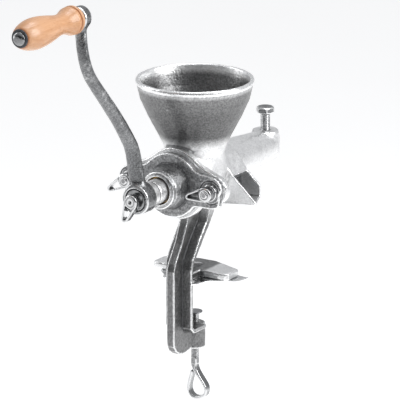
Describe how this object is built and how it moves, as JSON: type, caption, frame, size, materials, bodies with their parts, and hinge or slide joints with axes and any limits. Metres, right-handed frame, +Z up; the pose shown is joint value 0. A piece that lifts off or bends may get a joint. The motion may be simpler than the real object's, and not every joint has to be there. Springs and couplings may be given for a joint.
{
  "type": "hand-cranked screw press",
  "caption": "Hand-cranked fruit and berry screw press: hopper, conical barrel with auger, side juice spout, pulp outlet with pressure bolt, S-crank and table clamp.",
  "frame": {"origin": "on the clamp screw axis, in the face of the protector plate that rests on the table top", "axes": "+Z up along the clamp screw, +X towards the juice spout, +Y rearwards along the barrel, crank on the -Y side"},
  "size_m": [0.1295, 0.4168, 0.4443],
  "materials": {
    "tinned_iron": "satin tinned casting",
    "tinned_iron_rough": "grainy tinned casting",
    "tinned_iron_polished": "smooth tinned casting",
    "bright_steel": "bright",
    "zinc_steel": "zinc plated",
    "dark_steel": "dark",
    "bronze": "turned",
    "seal_rubber": "matt",
    "beech": "varnished beech"
  },
  "bodies": {
    "press": {"body_casting": "tinned_iron", "hopper_funnel": "tinned_iron", "clamp_frame": "tinned_iron_rough", "strainer_plate": "bright_steel", "front_cover": "tinned_iron_rough", "cover_gasket": "seal_rubber", "bearing_bush": "bronze", "cover_studs": "bright_steel", "table_protector": "bright_steel"},
    "crank": {"auger": "tinned_iron", "thrust_washer": "bright_steel", "crank_arm": "tinned_iron_polished", "grip_spindle": "bright_steel", "grip_end_washer": "dark_steel", "grip_inner_washer": "bright_steel"},
    "grip": {"wooden_grip": "beech"},
    "hub_washer": {"crank_washer": "bright_steel"},
    "hub_screw": {"crank_wing_screw": "bright_steel"},
    "left_washer": {"stud_washer_left": "bright_steel"},
    "left_nut": {"wing_nut_left": "bright_steel"},
    "right_washer": {"stud_washer_right": "bright_steel"},
    "right_nut": {"wing_nut_right": "bright_steel"},
    "outlet_disc": {"pressure_disc": "bright_steel"},
    "outlet_bolt": {"pressure_bolt": "zinc_steel"},
    "jaw_pad": {"clamp_pad": "dark_steel"},
    "jaw_screw": {"clamp_screw": "bright_steel"}
  },
  "joints": [
    {"name": "crank_turn", "type": "hinge", "parent": "press", "child": "crank", "pos_m": [0, -0.056, 0.103], "axis": [0, 1, 0], "continuous": true},
    {"name": "grip_spin", "type": "hinge", "parent": "crank", "child": "grip", "pos_m": [-0.02506, -0.216, 0.29598], "axis": [0, 1, 0], "continuous": true},
    {"name": "hub_washer_travel", "type": "slide", "parent": "crank", "child": "hub_washer", "axis": [0, -1, 0], "range_m": [0, 0.00375]},
    {"name": "hub_screw_turn", "type": "hinge", "parent": "hub_washer", "child": "hub_screw", "pos_m": [0, -0.108, 0.103], "axis": [0, -1, 0], "range_deg": [0, 1081]},
    {"name": "left_washer_travel", "type": "slide", "parent": "press", "child": "left_washer", "axis": [0, -1, 0], "range_m": [0, 0.0025]},
    {"name": "left_nut_turn", "type": "hinge", "parent": "left_washer", "child": "left_nut", "pos_m": [-0.0475, -0.048, 0.103], "axis": [0, -1, 0], "range_deg": [0, 721]},
    {"name": "right_washer_travel", "type": "slide", "parent": "press", "child": "right_washer", "axis": [0, -1, 0], "range_m": [0, 0.0025]},
    {"name": "right_nut_turn", "type": "hinge", "parent": "right_washer", "child": "right_nut", "pos_m": [0.0475, -0.048, 0.103], "axis": [0, -1, 0], "range_deg": [0, 721]},
    {"name": "outlet_disc_travel", "type": "slide", "parent": "press", "child": "outlet_disc", "axis": [0, 0, 1], "range_m": [-0.0075, 0.0018]},
    {"name": "pressure_bolt_turn", "type": "hinge", "parent": "outlet_disc", "child": "outlet_bolt", "pos_m": [0, 0.133, 0.123], "axis": [0, 0, 1], "range_deg": [-1801, 433]},
    {"name": "pad_travel", "type": "slide", "parent": "press", "child": "jaw_pad", "axis": [0, 0, 1], "range_m": [-0.00875, 0.0125]},
    {"name": "clamp_screw_turn", "type": "hinge", "parent": "jaw_pad", "child": "jaw_screw", "pos_m": [0, 0, -0.087], "axis": [0, 0, 1], "range_deg": [-2521, 3601]}
  ],
  "couplings": [
    {"joint": "hub_screw_turn", "follows": "hub_washer_travel", "rad_per_m": 5026.5},
    {"joint": "left_nut_turn", "follows": "left_washer_travel", "rad_per_m": 5026.5},
    {"joint": "right_nut_turn", "follows": "right_washer_travel", "rad_per_m": 5026.5},
    {"joint": "pressure_bolt_turn", "follows": "outlet_disc_travel", "rad_per_m": 4188.8},
    {"joint": "clamp_screw_turn", "follows": "pad_travel", "rad_per_m": 5026.5}
  ]
}
